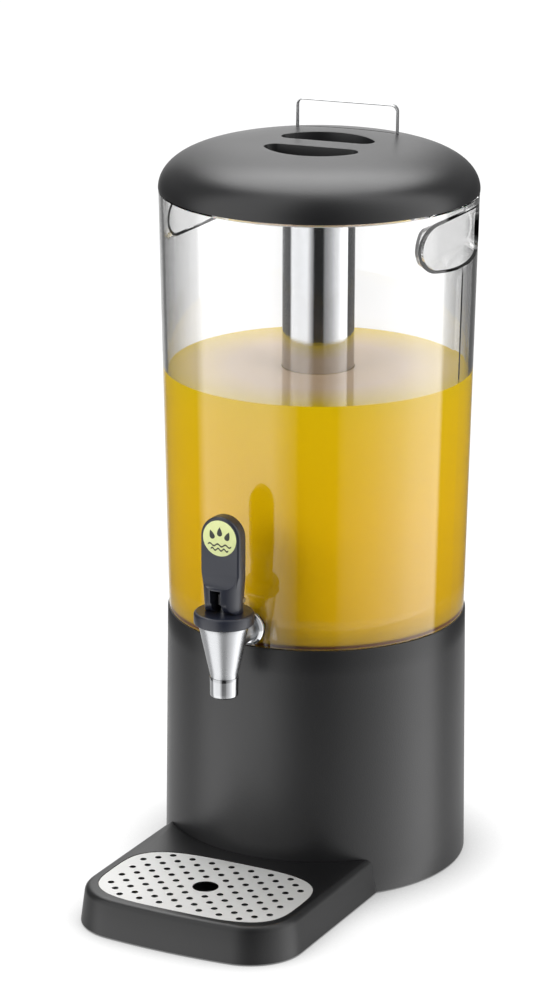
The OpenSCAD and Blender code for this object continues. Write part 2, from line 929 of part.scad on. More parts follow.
// Rounded bar of the paddle seen from above
module paddle_plan() {
    for (x = [-1, 1], y = [-paddle_front + edge_r, lever_t - paddle_front - edge_r])
        translate([x * (lever_w / 2 - edge_r), y])
            circle(edge_r, $fn = 32);
    translate([-lever_w / 2 + edge_r, -paddle_front])
        square([lever_w - 2 * edge_r, lever_t]);
    translate([-lever_w / 2, -paddle_front + edge_r])
        square([lever_w, lever_t - 2 * edge_r]);
}

// Black lever: a round-topped paddle on a round foot with a cam under it
module lever() {
    top_r = lever_w / 2;
    top_z = lever_top_z - top_r;
    slot_back = pin_back + head_r + gap;
    corner_r = norm([lever_w / 2 - edge_r, paddle_front - edge_r]) + edge_r;
    color("#3b3d45")
    at_tap()
        difference() {
            union() {
                intersection() {
                    rotate([90, 0, 90])
                        linear_extrude(lever_w + 2 * over, center = true)
                            lever_side();
                    union() {
                        translate([0, 0, foot_z])
                            cylinder(r1 = foot_low_r, r2 = foot_block_r, h = lip_z - foot_z);
                        translate([0, 0, lip_z])
                            cylinder(r = foot_block_r, h = back_rise);
                    }
                }
                // paddle, whose lower edges spread from the foot's round
                intersection() {
                    translate([0, 0, lip_z])
                        linear_extrude(top_z - lip_z)
                            paddle_plan();
                    union() {
                        translate([0, 0, lip_z])
                            cylinder(r1 = foot_block_r, r2 = corner_r, h = crease_rise);
                        translate([0, 0, lip_z + crease_rise])
                            cylinder(r = corner_r, h = lever_h);
                    }
                }
                translate([0, 0, top_z])
                    rotate([90, 0, 0])
                        translate([0, 0, paddle_front - lever_t])
                            paddle_top(top_r);
            }
            // slot for the stem's head, open at the front and below
            translate([-slot_w / 2, -foot_block_r - over, foot_z - over])
                cube([slot_w, foot_block_r + over + slot_back, slot_top_z - foot_z + over]);
            // bore for the pin, with a shallow sink at each end
            translate([-lever_w / 2, pin_back, pin_z])
                rotate([0, 90, 0])
                    cylinder(r = pin_r + run_gap, h = lever_w);
            for (side = [0, 180])
                translate([0, pin_back, pin_z])
                    rotate([0, 90, side])
                        translate([0, 0, foot_low_r - sink_inset])
                            cylinder(r = sink_r, h = lever_w / 2);
            // seat of the disc
            translate([0, -paddle_front + disc_t - disc_lift, top_z])
                rotate([90, 0, 0])
                    cylinder(r = disc_r + press_gap, h = disc_t + over);
        }
}

// Round end of the paddle, a disc with rounded edges
module paddle_top(r) {
    rotate_extrude() {
        translate([r - edge_r, edge_r])
            circle(edge_r, $fn = 32);
        translate([r - edge_r, lever_t - edge_r])
            circle(edge_r, $fn = 32);
        square([r - edge_r, lever_t]);
        translate([0, edge_r])
            square([r, lever_t - 2 * edge_r]);
    }
}

// Lime-green disc let into the lever's face
module lever_disc() {
    color("#dfe986")
    at_tap()
        translate([0, -paddle_front + disc_t - disc_lift - press_gap, lever_top_z - lever_w / 2])
            rotate([90, 0, 0])
                cylinder(r = disc_r, h = disc_t - press_gap);
}

// Lid

// Points of the domed outline, lowered and drawn in by `inset`
function lid_curve(inset) = [for (i = [1 : lid_steps])
    let (t = 90 * i / lid_steps)
    [(lid_r - inset) * pow(cos(t), 2 / lid_flat_power),
     lid_z + (lid_h - inset) * pow(sin(t), 2 / lid_round_power)]];

module lid_dome(inset, drop) {
    rotate_extrude()
        polygon(concat([[0, lid_z - drop], [lid_foot_r - inset, lid_z - drop]], lid_curve(inset)));
}

// Domed black lid with two finger pockets and a slot for a card
module lid_shell() {
    color("#303133")
    rotate(lid_turn)
        difference() {
            union() {
                difference() {
                    lid_dome(0, 0);
                    lid_dome(lid_wall, over);
                }
                intersection() {
                    lid_dome(0, 0);
                    union() {
                        pocket_forms(pocket_wall, pocket_floor_z - pocket_wall);
                        translate([-holder_w / 2 - strip_w, holder_back - pad_w / 2,
                            crown_z - pad_depth])
                            cube([holder_w + 2 * strip_w, pad_w, pad_depth]);
                        lid_screw_places()
                            translate([0, 0, liner_z + liner_t + press_gap])
                                cylinder(r = lid_boss_r, h = lid_h);
                    }
                }
            }
            pocket_forms(0, pocket_floor_z);
            // slot that holds a card
            translate([-holder_w / 2 + card_slot_end, holder_back - card_slot_w / 2,
                crown_z - card_slot_depth])
                cube([holder_w - 2 * card_slot_end, card_slot_w, lid_h]);
            // holes for the holder's two legs
            for (side = [-1, 1])
                translate([side * (holder_w - strip_t) / 2 - strip_t / 2 - press_gap,
                    holder_back - strip_w / 2 - press_gap, holder_foot_z - over])
                    cube([strip_t + 2 * press_gap, strip_w + 2 * press_gap, lid_h]);
            lid_screw_places()
                translate([0, 0, liner_z])
                    cylinder(r = lid_screw_r + press_gap, h = lid_screw_l + over);
        }
}

module lid_screw_places() {
    for (i = [0 : lid_screw_count - 1])
        rotate(lid_screw_angle + 360 * i / lid_screw_count)
            translate([lid_screw_circle_r, 0, 0])
                children();
}

module pocket_forms(skin, z) {
    translate([0, 0, z])
        linear_extrude(lid_h)
            for (side = [0, 180])
                rotate(side)
                    half_moon(pocket_r + skin, pocket_bar_w / 2 - skin, pocket_tip_r + skin);
}

// Flat liner that closes the lid below, with a skirt and the ice tube's socket
module lid_liner() {
    color("#3a3b3d")
    rotate(lid_turn) {
        difference() {
            union() {
                translate([0, 0, liner_z])
                    cylinder(r = liner_seat_r - 2 * press_gap, h = liner_t);
                translate([0, 0, liner_z - skirt_h])
                    rotate_extrude()
                        translate([skirt_r - skirt_t, 0])
                            square([skirt_t, skirt_h + over / 2]);
                translate([0, 0, liner_z - socket_h])
                    difference() {
                        cylinder(r = socket_r + socket_wall, h = socket_h + over / 2);
                        translate([0, 0, -over])
                            cylinder(r = socket_r, h = socket_h + over);
                    }
                for (i = [0 : lug_count - 1])
                    translate([0, 0, liner_z - socket_h])
                        rotate(360 * i / lug_count)
                            arc_block(ledge_r, socket_r + socket_wall / 2, ledge_angle, ledge_h);
            }
            lid_screw_places()
                translate([0, 0, liner_z - over])
                    cylinder(r = lid_screw_r + gap, h = liner_t + 2 * over);
        }
    }
}

// Block that fills part of a ring, centred on +X
module arc_block(r0, r1, angle, h) {
    intersection() {
        difference() {
            cylinder(r = r1, h = h);
            translate([0, 0, -over])
                cylinder(r = r0, h = h + 2 * over);
        }
        linear_extrude(h)
            polygon([[0, 0], [2 * r1, -2 * r1 * tan(angle / 2)], [2 * r1, 2 * r1 * tan(angle / 2)]]);
    }
}

// Soft seal round the liner's skirt
module lid_seal() {
    color("#c9cacb")
    translate([0, 0, liner_z - skirt_h + gap])
        rotate_extrude()
            translate([skirt_r + press_gap, 0])
                square([seal_w, seal_h]);
}

// Four screws from below that hold the liner in the lid
module lid_screws() {
    color("#b9bcc0")
    rotate(lid_turn)
        lid_screw_places()
            translate([0, 0, liner_z - lid_screw_head_h - press_gap]) {
                cylinder(r = lid_screw_head_r, h = lid_screw_head_h);
                cylinder(r = lid_screw_r, h = lid_screw_head_h + lid_screw_l);
            }
}

// Card holder: a flat steel strip bent to a bridge, its legs let into the lid
module card_holder() {
    color("#d0d2d4")
    rotate(lid_turn)
        translate([0, holder_back + strip_w / 2, 0])
            rotate([90, 0, 0])
                linear_extrude(strip_w)
                    difference() {
                        holder_outline(0, 0);
                        holder_outline(strip_t, over);
                    }
}

// Upright plate with round upper corners, drawn in by `inset` and down by `drop`
module holder_outline(inset, drop) {
    half_w = holder_w / 2 - inset;
    bend = holder_bend_r - inset;
    top = holder_top_z - inset;
    low = holder_foot_z - drop;
    translate([-half_w, low])
        square([2 * half_w, top - bend - low]);
    translate([-half_w + bend, low])
        square([2 * (half_w - bend), top - low]);
    for (side = [-1, 1])
        translate([side * (half_w - bend), top - bend])
            circle(bend, $fn = 64);
}

// Ice tube

// Thin polished tube, closed at its foot by a domed bottom
module ice_tube() {
    color("#c8cacc")
    rotate_extrude()
        difference() {
            tube_section(0, 0);
            tube_section(tube_wall, over);
        }
}

// Half section of the tube's outside, or of its inside where `inset` is its wall
module tube_section(inset, rise) {
    r = tube_r - inset;
    edge = tube_foot_r - inset;
    low = tube_floor_z + inset;
    top = tube_top_z + rise;
    translate([0, low])
        square([r - edge, top - low]);
    translate([0, low + edge])
        square([r, top - low - edge]);
    translate([r - edge, low + edge])
        circle(edge);
}

// Collar on the tube's top, with the lugs that hang it in the socket
module tube_collar() {
    color("#38393b")
    rotate(lid_turn)
        translate([0, 0, tube_lug_z]) {
            difference() {
                cylinder(r = tube_r + collar_wall, h = tube_top_z - tube_lug_z);
                translate([0, 0, -over])
                    cylinder(r = tube_r + press_gap, h = socket_h + 2 * over);
            }
            for (i = [0 : lug_count - 1])
                rotate(360 * i / lug_count)
                    arc_block(tube_r + collar_wall / 2, lug_r, lug_angle, lug_h);
        }
}

// Soft ring on the tube's top edge
module tube_seal() {
    color("#c9cacb")
    translate([0, 0, tube_top_z + press_gap])
        rotate_extrude()
            translate([tube_r - tube_seal_lap, 0])
                square([tube_seal_w, tube_drop - press_gap - rest_gap]);
}

// Drip tray

// Tray's outer form, drawn in by `inset` and lowered by `drop`: leaning walls and a
// rounded top edge
module tray_form(inset, drop) {
    slab = 0.1;
    module level(z, extra) {
        translate([0, 0, z - drop])
            linear_extrude(slab)
                tray_outline(tray_draw * z / tray_h + inset + extra);
    }
    hull() {
        level(skirt_gap, 0);
        for (i = [0 : tray_round_steps])
            level(tray_h - slab - tray_round * (1 - sin(90 * i / tray_round_steps)),
                tray_round * (1 - cos(90 * i / tray_round_steps)));
    }
}

// Black moulded tray with a well, hollow below, and a tongue that enters the base
module drip_tray() {
    well_a = grille_w / 2 - grille_ledge;
    well_b = grille_l / 2 - grille_ledge;
    color("#2b2c2e")
    difference() {
        union() {
            difference() {
                tray_form(0, 0);
                tray_form(tray_wall, tray_wall);
            }
            intersection() {
                tray_form(0, 0);
                union() {
                    translate([0, grille_y, well_floor_z - tray_wall])
                        linear_extrude(tray_h)
                            pillow(grille_w / 2 + tray_wall, grille_l / 2 + tray_wall);
                    tray_pad_places()
                        translate([0, 0, tray_pad_h])
                            cylinder(r = tray_pad_r + tray_pad_wall, h = tray_h);
                    // rear wall that follows the base
                    difference() {
                        translate([0, 0, skirt_gap])
                            cylinder(r = base_r(0) + tray_gap + tray_wall, h = tray_h);
                        translate([-tray_w, 0, 0])
                            cube([2 * tray_w, tray_w, tray_h]);
                    }
                }
            }
            // tongue
            translate([-tongue_w / 2, -base_r(0) - tray_wall, tongue_z])
                cube([tongue_w, tongue_l + tray_wall, tongue_t]);
        }
        difference() {
            cylinder(r1 = base_r(0) + tray_gap, r2 = base_r(tray_h + over) + tray_gap, h = tray_h + over);
            translate([-tongue_w / 2, -base_r(0) - tray_wall, tongue_z])
                cube([tongue_w, tongue_l + tray_wall, tongue_t]);
        }
        // seat of the grille and the well below it
        translate([0, grille_y, grille_z - rest_gap])
            linear_extrude(tray_h)
                pillow(grille_w / 2 + tray_gap, grille_l / 2 + tray_gap);
        translate([0, grille_y, well_floor_z])
            linear_extrude(tray_h)
                pillow(well_a, well_b);
    }
}

module tray_pad_places() {
    for (side = [-1, 1], y = [tray_front + tray_pad_front, -tray_pad_back])
        translate([side * tray_pad_x, y, 0])
            children();
}

// Four rubber pads under the tray
module tray_feet() {
    color("#1d1d1e")
    tray_pad_places()
        cylinder(r = tray_pad_r, h = tray_pad_h);
}

// Stainless grille with rows of drain holes and a finger hole
module grille() {
    rows = floor(grille_l / 2 / hole_step);
    cols = floor(grille_w / 2 / hole_step);
    color("#d9dadb")
    translate([0, grille_y, grille_z])
        difference() {
            linear_extrude(grille_t)
                pillow(grille_w / 2, grille_l / 2);
            translate([0, 0, -over])
                cylinder(r = finger_hole_r, h = grille_t + 2 * over);
            for (i = [-cols : cols], j = [-rows : rows])
                if ((i + j) % 2 != 0 && hole_fits(i, j))
                    translate([i * hole_step, j * hole_step, -over])
                        cylinder(r = hole_r, h = grille_t + 2 * over);
        }
}

// A hole is drilled where it keeps a land to the edge and to the finger hole
function hole_fits(i, j) =
    let (x = abs(i * hole_step), y = abs(j * hole_step))
    norm([x, y]) > finger_hole_r + hole_land
    && pow(x / (grille_w / 2 - hole_land), grille_power)
        + pow(y / (grille_l / 2 - hole_land), grille_power) < 1;

base_shell();
base_plate();
foot_ring();
base_screws();
seat_ring();
container();
juice();
tap_shank();
tap_flange();
outer_gasket();
inner_gasket();
shank_nut();
tap_body();
tap_collar();
stem_guide();
stem_seal();
valve_stem();
seat_plug();
lever_pin();
return_spring();
lever();
lever_disc();
lid_shell();
lid_liner();
lid_seal();
lid_screws();
card_holder();
ice_tube();
tube_collar();
tube_seal();
drip_tray();
tray_feet();
grille();
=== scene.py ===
import math

import bmesh
import bpy
from mathutils import Matrix, Vector


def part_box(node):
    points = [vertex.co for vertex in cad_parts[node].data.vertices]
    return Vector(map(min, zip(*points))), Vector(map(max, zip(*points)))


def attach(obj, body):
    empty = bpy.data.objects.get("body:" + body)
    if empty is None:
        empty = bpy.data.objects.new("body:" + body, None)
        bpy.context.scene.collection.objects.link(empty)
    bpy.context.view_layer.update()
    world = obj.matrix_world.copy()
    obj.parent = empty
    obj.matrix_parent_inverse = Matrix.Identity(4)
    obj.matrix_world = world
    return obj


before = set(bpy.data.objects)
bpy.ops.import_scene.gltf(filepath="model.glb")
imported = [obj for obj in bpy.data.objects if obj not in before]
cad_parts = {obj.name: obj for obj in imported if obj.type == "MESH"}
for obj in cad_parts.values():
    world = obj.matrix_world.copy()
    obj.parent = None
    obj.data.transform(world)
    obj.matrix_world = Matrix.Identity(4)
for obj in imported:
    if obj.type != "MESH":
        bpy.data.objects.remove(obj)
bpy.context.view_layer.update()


# Base

# The round base is one ABS moulding in black. Its tool was spark-eroded, so the skin has
# a fine even grain and a satin sheen. A bottom plate of the same plastic is screwed in
# from below, where nobody sees it.

def linear(hex_colour, alpha=1.0):
    """An sRGB colour written as hex, turned to the linear values that the shaders take."""
    parts = [int(hex_colour[i:i + 2], 16) / 255 for i in (1, 3, 5)]
    return tuple(c / 12.92 if c <= 0.04045 else ((c + 0.055) / 1.055) ** 2.4
                 for c in parts) + (alpha,)


def add_node(tree, kind, settings=None, links=None):
    """Adds a node. Settings name its attributes or its inputs; links name its inputs.
    A number is an input's place, such as 6 and 7 for the two colours of a Mix node."""
    node = tree.nodes.new(kind)
    for name, value in (settings or {}).items():
        if isinstance(name, int) or name in node.inputs:
            node.inputs[name].default_value = value
        else:
            setattr(node, name, value)
    for name, (source, output) in (links or {}).items():
        tree.links.new(source.outputs[output], node.inputs[name])
    return node


def new_finish(name, settings):
    """A material with one Principled shader that holds the settings."""
    finish = bpy.data.materials.new(name)
    finish.use_nodes = True
    tree = finish.node_tree
    tree.nodes.clear()
    shader = add_node(tree, "ShaderNodeBsdfPrincipled", settings)
    add_node(tree, "ShaderNodeOutputMaterial", links={"Surface": (shader, "BSDF")})
    return finish, tree, shader


def put_on(finish, *names):
    """Gives CAD nodes their finish."""
    for name in names:
        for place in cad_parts[name].material_slots:
            place.material = finish


joined_below = 2e-6     # points that are nearer to each other than this are one point


def soften(name, width=0.0, segments=2, crease=32):
    """Joins a CAD node's facets into smooth faces and takes the bite off its hard edges."""
    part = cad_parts[name]
    part.modifiers.new("joined facets", "WELD").merge_threshold = joined_below
    if width:
        edge = part.modifiers.new("edge radius", "BEVEL")
        edge.width = width
        edge.segments = segments
        edge.limit_method = "ANGLE"
        edge.angle_limit = math.radians(crease)
        edge.miter_outer = "MITER_ARC"
    group_name = "smooth_below_%d_degrees" % crease
    group = bpy.data.node_groups.get(group_name)
    if group is None:
        group = bpy.data.node_groups.new(group_name, "GeometryNodeTree")
        group.interface.new_socket("Mesh", in_out="INPUT", socket_type="NodeSocketGeometry")
        group.interface.new_socket("Mesh", in_out="OUTPUT", socket_type="NodeSocketGeometry")
        mesh_in = add_node(group, "NodeGroupInput")
        angle = add_node(group, "GeometryNodeInputMeshEdgeAngle")
        sharp = add_node(group, "ShaderNodeMath",
                         {"operation": "GREATER_THAN", 1: math.radians(crease)},
                         {0: (angle, "Unsigned Angle")})
        normals = add_node(group, "GeometryNodeSetMeshNormal",
                           {"mode": "SHARPNESS", "Remove Custom": True},
                           {"Mesh": (mesh_in, 0), "Edge Sharpness": (sharp, 0)})
        add_node(group, "NodeGroupOutput", links={0: (normals, 0)})
    part.modifiers.new("smooth faces", "NODES").node_group = group


# spark-eroded black ABS: near black, satin, a grain that breaks up the reflections
base_black, tree, shader = new_finish("black_abs_spark_eroded", {
    "Base Color": linear("#161617"), "IOR": 1.5})
place = add_node(tree, "ShaderNodeTexCoord")
# the real grain is 0.15 mm; drawn at about 1.1 mm, which is a pixel and a half
grain = add_node(tree, "ShaderNodeTexNoise", {"Scale": 900, "Detail": 3.0, "Roughness": 0.6},
                 {"Vector": (place, "Object")})
# broad uneven wear from wiping, 60 to 120 mm across
wiped = add_node(tree, "ShaderNodeTexNoise", {"Scale": 14, "Detail": 2.0},
                 {"Vector": (place, "Object")})
gloss = add_node(tree, "ShaderNodeMapRange", {"To Min": 0.3, "To Max": 0.38},
                 {"Value": (wiped, "Fac")})
relief = add_node(tree, "ShaderNodeBump", {"Strength": 0.25, "Distance": 0.0003},
                  {"Height": (grain, "Fac")})
tree.links.new(gloss.outputs["Result"], shader.inputs["Roughness"])
tree.links.new(relief.outputs["Normal"], shader.inputs["Normal"])
put_on(base_black, "base_shell", "base_plate")
soften("base_shell", width=0.0004)
soften("base_plate", width=0.0004)


# Foot ring and pads

# The ring under the base and the tray's pads are black rubber, moulded and pressed or
# glued in. They are dull and a little lighter where dust sits in them.

foot_rubber, tree, shader = new_finish("black_rubber_moulded", {
    "Roughness": 0.75, "IOR": 1.52})
place = add_node(tree, "ShaderNodeTexCoord")
# dust lies in patches about 8 mm across
dust = add_node(tree, "ShaderNodeTexNoise", {"Scale": 120, "Detail": 4.0},
                {"Vector": (place, "Object")})
tint = add_node(tree, "ShaderNodeValToRGB", links={"Fac": (dust, "Fac")})
tint.color_ramp.elements[0].color = linear("#161616")
tint.color_ramp.elements[0].position = 0.4
tint.color_ramp.elements[1].color = linear("#2a2a29")
tint.color_ramp.elements[1].position = 0.75
tree.links.new(tint.outputs["Color"], shader.inputs["Base Color"])
put_on(foot_rubber, "foot_ring", "tray_feet")

# soft black seals: the ring the container stands on and the stem's ring
seal_rubber, tree, shader = new_finish("black_nbr_seal", {
    "Base Color": linear("#1b1b1b"), "Roughness": 0.5, "IOR": 1.52})
place = add_node(tree, "ShaderNodeTexCoord")
# parting lines and talc, about 2 mm across
talc = add_node(tree, "ShaderNodeTexNoise", {"Scale": 500, "Detail": 2.0},
                {"Vector": (place, "Object")})
relief = add_node(tree, "ShaderNodeBump", {"Strength": 0.2, "Distance": 0.0002},
                  {"Height": (talc, "Fac")})
tree.links.new(relief.outputs["Normal"], shader.inputs["Normal"])
put_on(seal_rubber, "seat_ring", "stem_seal")


# Screws

# Pan-head screws of zinc-plated steel, four under the base and four under the lid. The
# plating is bright with a faint bloom.

screw_steel, tree, shader = new_finish("zinc_plated_steel", {
    "Base Color": linear("#b9bcc0"), "Metallic": 1.0})
place = add_node(tree, "ShaderNodeTexCoord")
# the bloom is finer than the eye sees, and is drawn at about 1.7 mm
bloom = add_node(tree, "ShaderNodeTexNoise", {"Scale": 600, "Detail": 3.0},
                 {"Vector": (place, "Object")})
gloss = add_node(tree, "ShaderNodeMapRange", {"To Min": 0.25, "To Max": 0.42},
                 {"Value": (bloom, "Fac")})
tree.links.new(gloss.outputs["Result"], shader.inputs["Roughness"])
put_on(screw_steel, "base_screws", "lid_screws")


# Container

# The container is one clear moulding of styrene-acrylonitrile, polished like glass, with
# its two finger grips and its spigot. It stands loose in the base's rim.

# clear SAN, polished tool: colourless, mirror-smooth, with a faint grey at its edges
clear_wall, tree, shader = new_finish("clear_san_polished", {
    "Base Color": linear("#fdfdfd"), "Roughness": 0.0, "IOR": 1.57,
    "Transmission Weight": 1.0})
place = add_node(tree, "ShaderNodeTexCoord")
# slow waves from moulding, about 40 mm apart, so that reflections aren't ruler-straight
waves = add_node(tree, "ShaderNodeTexNoise", {"Scale": 24, "Detail": 1.0},
                 {"Vector": (place, "Object")})
relief = add_node(tree, "ShaderNodeBump", {"Strength": 0.04, "Distance": 0.002},
                  {"Height": (waves, "Fac")})
tree.links.new(relief.outputs["Normal"], shader.inputs["Normal"])
# light that falls through the wall arrives as light, not as a black shadow
path = add_node(tree, "ShaderNodeLightPath")
clear = add_node(tree, "ShaderNodeBsdfTransparent", {"Color": linear("#f4f6f6")})
blend = add_node(tree, "ShaderNodeMixShader", links={
    "Fac": (path, "Is Shadow Ray"), 1: (shader, "BSDF"), 2: (clear, "BSDF")})
tree.links.new(blend.outputs["Shader"],
               [n for n in tree.nodes if n.type == "OUTPUT_MATERIAL"][0].inputs["Surface"])
put_on(clear_wall, "container")


# Juice

# Orange juice fills the container to 355 mm. It wets the wall, so the eye sees it right
# at the inner face, opaque, deep yellow, a little browner towards the bottom.

juice_foot_z, juice_level_z = 0.180, 0.355
# radii over which the painted reflection on the juice's top fades out towards the wall
reflection_inner_r, reflection_outer_r = 0.06, 0.103
foot_line_h = 0.0025
skin_shift = 0.00012
juice_yellow, tree, shader = new_finish("orange_juice_cloudy", {
    "Roughness": 0.08, "IOR": 1.34})
place = add_node(tree, "ShaderNodeTexCoord")
parts = add_node(tree, "ShaderNodeSeparateXYZ", links={"Vector": (place, "Object")})
depth = add_node(tree, "ShaderNodeMapRange", {
    "From Min": juice_foot_z, "From Max": juice_level_z}, {"Value": (parts, "Z")})
# pulp hangs in clouds 20 to 40 mm across
pulp = add_node(tree, "ShaderNodeTexNoise", {"Scale": 35, "Detail": 4.0},
                {"Vector": (place, "Object")})
cloud = add_node(tree, "ShaderNodeMapRange", {"To Min": -0.08, "To Max": 0.08},
                 {"Value": (pulp, "Fac")})
level = add_node(tree, "ShaderNodeMath", {"operation": "ADD"},
                 {0: (depth, "Result"), 1: (cloud, "Result")})
# the colour runs from a browner yellow at the bottom to a brighter yellow at the top
tint = add_node(tree, "ShaderNodeValToRGB", links={"Fac": (level, "Value")})
tint.color_ramp.elements[0].color = linear("#c79f07")
tint.color_ramp.elements[0].position = 0.0
tint.color_ramp.elements[1].color = linear("#d4b305")
tint.color_ramp.elements[1].position = 1.0
middle = tint.color_ramp.elements.new(0.5)
middle.color = linear("#d5ae04")
# a thin reddish line runs round its foot, where the thick bottom of the wall shades it
base_top_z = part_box("base_shell")[1].z
foot_line = add_node(tree, "ShaderNodeMapRange", {
    "From Min": base_top_z, "From Max": base_top_z + foot_line_h,
    "To Min": 1.0, "To Max": 0.0}, {"Value": (parts, "Z")})
tint = add_node(tree, "ShaderNodeMix", {"data_type": "RGBA", 7: linear("#7d3c14")},
                {0: (foot_line, "Result"), 6: (tint, "Color")})
# painted reflection: seen from above it is painted paler, a beige that thins out towards the wall
facing = add_node(tree, "ShaderNodeNewGeometry")
tilt = add_node(tree, "ShaderNodeSeparateXYZ", links={"Vector": (facing, "Normal")})
flat = add_node(tree, "ShaderNodeVectorMath", {"operation": "MULTIPLY", 1: (1, 1, 0)},
                {0: (place, "Object")})
out = add_node(tree, "ShaderNodeVectorMath", {"operation": "LENGTH"}, {0: (flat, "Vector")})
painted_reflection = add_node(tree, "ShaderNodeMapRange", {
    "From Min": reflection_outer_r, "From Max": reflection_inner_r, "To Min": 0.05, "To Max": 1.0},
                {"Value": (out, "Value")})
top = add_node(tree, "ShaderNodeMath", {"operation": "MULTIPLY", "use_clamp": True},
               {0: (tilt, "Z"), 1: (painted_reflection, "Result")})
# the painted pale reflection is mixed over the juice's colour where it faces up
skin_and_reflection = add_node(tree, "ShaderNodeMix", {"data_type": "RGBA", 7: linear("#cfb293")},
                {0: (top, "Value"), 6: (tint, 2)})
tree.links.new(skin_and_reflection.outputs[2], shader.inputs["Base Color"])
put_on(juice_yellow, "juice")
# the juice meets the wall with no air between, so its skin lies just inside the wall's
# inner face
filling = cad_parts["juice"]
filling.modifiers.new("joined facets", "WELD").merge_threshold = joined_below
wetting = filling.modifiers.new("wets the wall", "DISPLACE")
wetting.strength = skin_shift
wetting.mid_level = 0.0


# Tap, fixed parts

# A threaded steel tube goes through the wall, with a bright flange and white silicone
# gaskets on each side and a nut inside. The cone with its spout is turned and polished
# stainless steel; the cap on it is black nylon.

# turned and polished stainless: fine rings round the axis; the spout is a mirror, the cone
# has softer, broader highlights
tap_steel, tree, shader = new_finish("stainless_turned_polished", {
    "Base Color": linear("#acadaf"), "Metallic": 1.0})
place = add_node(tree, "ShaderNodeTexCoord")
# tool marks every 0.2 mm up the axis; drawn every 0.8 mm so that they show
turned = add_node(tree, "ShaderNodeTexWave", {
    "wave_type": "BANDS", "bands_direction": "Z", "Scale": 390, "Distortion": 0.6,
    "Detail": 2.0}, {"Vector": (place, "Object")})
relief = add_node(tree, "ShaderNodeBump", {"Strength": 0.06, "Distance": 0.0001},
                  {"Height": (turned, "Fac")})
# rub marks about 6 mm across
smear = add_node(tree, "ShaderNodeTexNoise", {"Scale": 160, "Detail": 2.0},
                 {"Vector": (place, "Object")})
# the step between spout and cone lies between these heights
buffed_to_z, soft_from_z = 0.169, 0.172
parts = add_node(tree, "ShaderNodeSeparateXYZ", links={"Vector": (place, "Object")})
buffed = add_node(tree, "ShaderNodeMapRange", {
    "From Min": buffed_to_z, "From Max": soft_from_z, "To Min": 0.1, "To Max": 0.28},
                  {"Value": (parts, "Z")})
spread = add_node(tree, "ShaderNodeMapRange", {"To Min": -0.03, "To Max": 0.03},
                  {"Value": (smear, "Fac")})
gloss = add_node(tree, "ShaderNodeMath", {"operation": "ADD"},
                 {0: (buffed, "Result"), 1: (spread, "Result")})
tree.links.new(gloss.outputs["Value"], shader.inputs["Roughness"])
tree.links.new(relief.outputs["Normal"], shader.inputs["Normal"])
put_on(tap_steel, "tap_body", "tap_shank", "shank_nut", "valve_stem", "lever_pin")
soften("tap_body", width=0.0003)

# chromium plate on the flange: a sharp cool mirror
tap_chrome, tree, shader = new_finish("chromium_plated_brass", {
    "Base Color": linear("#dcdee1"), "Metallic": 1.0})
place = add_node(tree, "ShaderNodeTexCoord")
# the haze that drying water leaves, in spots of about 4 mm
haze = add_node(tree, "ShaderNodeTexNoise", {"Scale": 250, "Detail": 2.0},
                {"Vector": (place, "Object")})
gloss = add_node(tree, "ShaderNodeMapRange", {"To Min": 0.04, "To Max": 0.1},
                 {"Value": (haze, "Fac")})
tree.links.new(gloss.outputs["Result"], shader.inputs["Roughness"])
put_on(tap_chrome, "tap_flange")
soften("tap_flange", width=0.0003)

# white silicone: milky, soft, slightly see-through
seal_white, tree, shader = new_finish("white_silicone_moulded", {
    "Base Color": linear("#dcdad3"), "Roughness": 0.45, "IOR": 1.41,
    "Subsurface Weight": 0.3, "Subsurface Scale": 0.002})
place = add_node(tree, "ShaderNodeTexCoord")
# the matt skin from the mould is too fine to show, and is drawn at about 1.4 mm
skin_and_reflection = add_node(tree, "ShaderNodeTexNoise", {"Scale": 700, "Detail": 2.0},
                {"Vector": (place, "Object")})
relief = add_node(tree, "ShaderNodeBump", {"Strength": 0.15, "Distance": 0.0002},
                  {"Height": (skin_and_reflection, "Fac")})
tree.links.new(relief.outputs["Normal"], shader.inputs["Normal"])
put_on(seal_white, "outer_gasket", "inner_gasket", "seat_plug", "lid_seal", "tube_seal")

# acetal bush that guides the stem: white, waxy
guide_plastic, tree, shader = new_finish("white_acetal_turned", {
    "Base Color": linear("#e4e4e2"), "Roughness": 0.35, "IOR": 1.48})
place = add_node(tree, "ShaderNodeTexCoord")
# tool marks every 0.1 mm, drawn every 1 mm so that they show
rings = add_node(tree, "ShaderNodeTexWave", {"bands_direction": "Z", "Scale": 300},
                 {"Vector": (place, "Object")})
relief = add_node(tree, "ShaderNodeBump", {"Strength": 0.1, "Distance": 0.0001},
                  {"Height": (rings, "Fac")})
tree.links.new(relief.outputs["Normal"], shader.inputs["Normal"])
put_on(guide_plastic, "stem_guide")


# Spring

# The return spring is cold-wound stainless wire. The wire is drawn bright, with faint
# marks from the die.

spring_steel, tree, shader = new_finish("spring_wire_drawn", {
    "Base Color": linear("#b4b6b9"), "Metallic": 1.0})
place = add_node(tree, "ShaderNodeTexCoord")
# the die's marks are finer than a hair, and are drawn as specks of about 1.1 mm
drawn = add_node(tree, "ShaderNodeTexNoise", {"Scale": 900, "Detail": 2.0},
                 {"Vector": (place, "Object")})
gloss = add_node(tree, "ShaderNodeMapRange", {"To Min": 0.22, "To Max": 0.36},
                 {"Value": (drawn, "Fac")})
tree.links.new(gloss.outputs["Result"], shader.inputs["Roughness"])
put_on(spring_steel, "return_spring")


# Cap and lever

# Cap and lever are injection-moulded nylon from a polished tool: blue-black, with soft
# clear highlights along every round.

tap_black, tree, shader = new_finish("black_nylon_polished", {
    "Base Color": linear("#191c27"), "IOR": 1.53})
place = add_node(tree, "ShaderNodeTexCoord")
